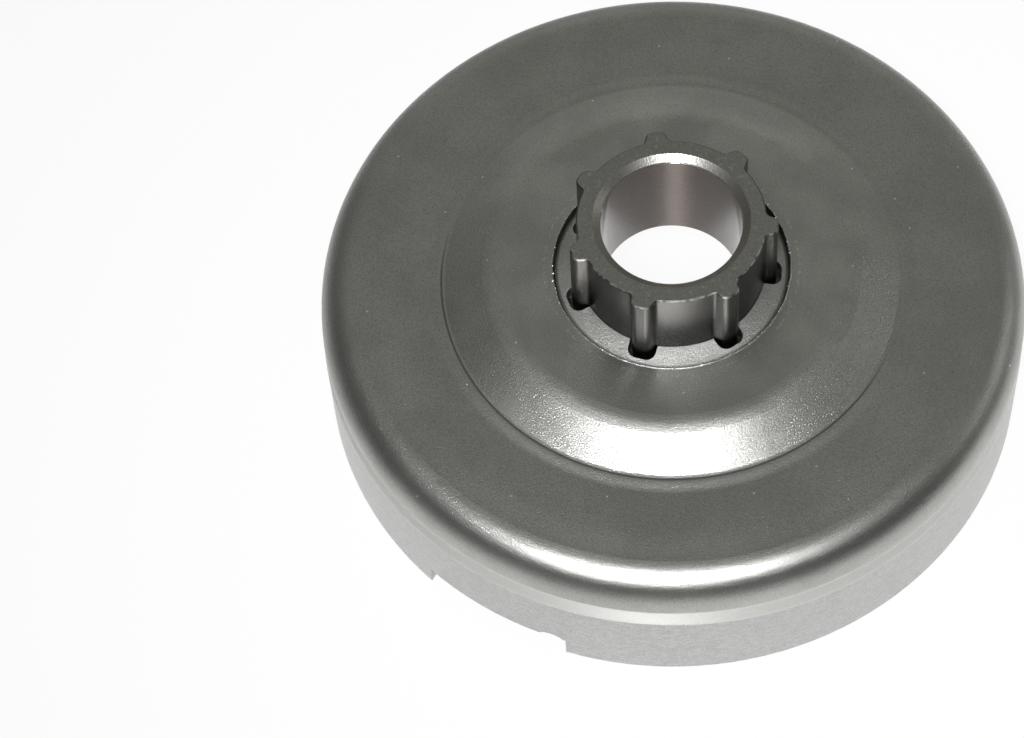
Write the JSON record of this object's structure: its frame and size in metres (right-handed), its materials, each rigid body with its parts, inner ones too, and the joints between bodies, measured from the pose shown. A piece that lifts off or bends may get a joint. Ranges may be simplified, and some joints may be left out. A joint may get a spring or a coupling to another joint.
{
  "type": "chainsaw clutch drum",
  "caption": "Pressed steel chainsaw clutch drum: a shallow cup with a domed crown and a splined hub that carries a rim sprocket outside and runs on a needle cage in its bore.",
  "frame": {"origin": "on the drum's axis, in the plane of the rim that the drum stands on", "axes": "+Z along the axis towards the hub; -Y towards the viewer of the picture, with the rim notch at the front left"},
  "size_m": [0.0816, 0.0816, 0.0306],
  "materials": {
    "pressed_steel": "deep-drawn steel, fine matt grain with a satin sheen",
    "hub_steel": "turned and heat-treated steel, satin dark grey"
  },
  "bodies": {
    "root": {"drum_cup": "pressed_steel", "spline_hub": "hub_steel"}
  },
  "joints": []
}
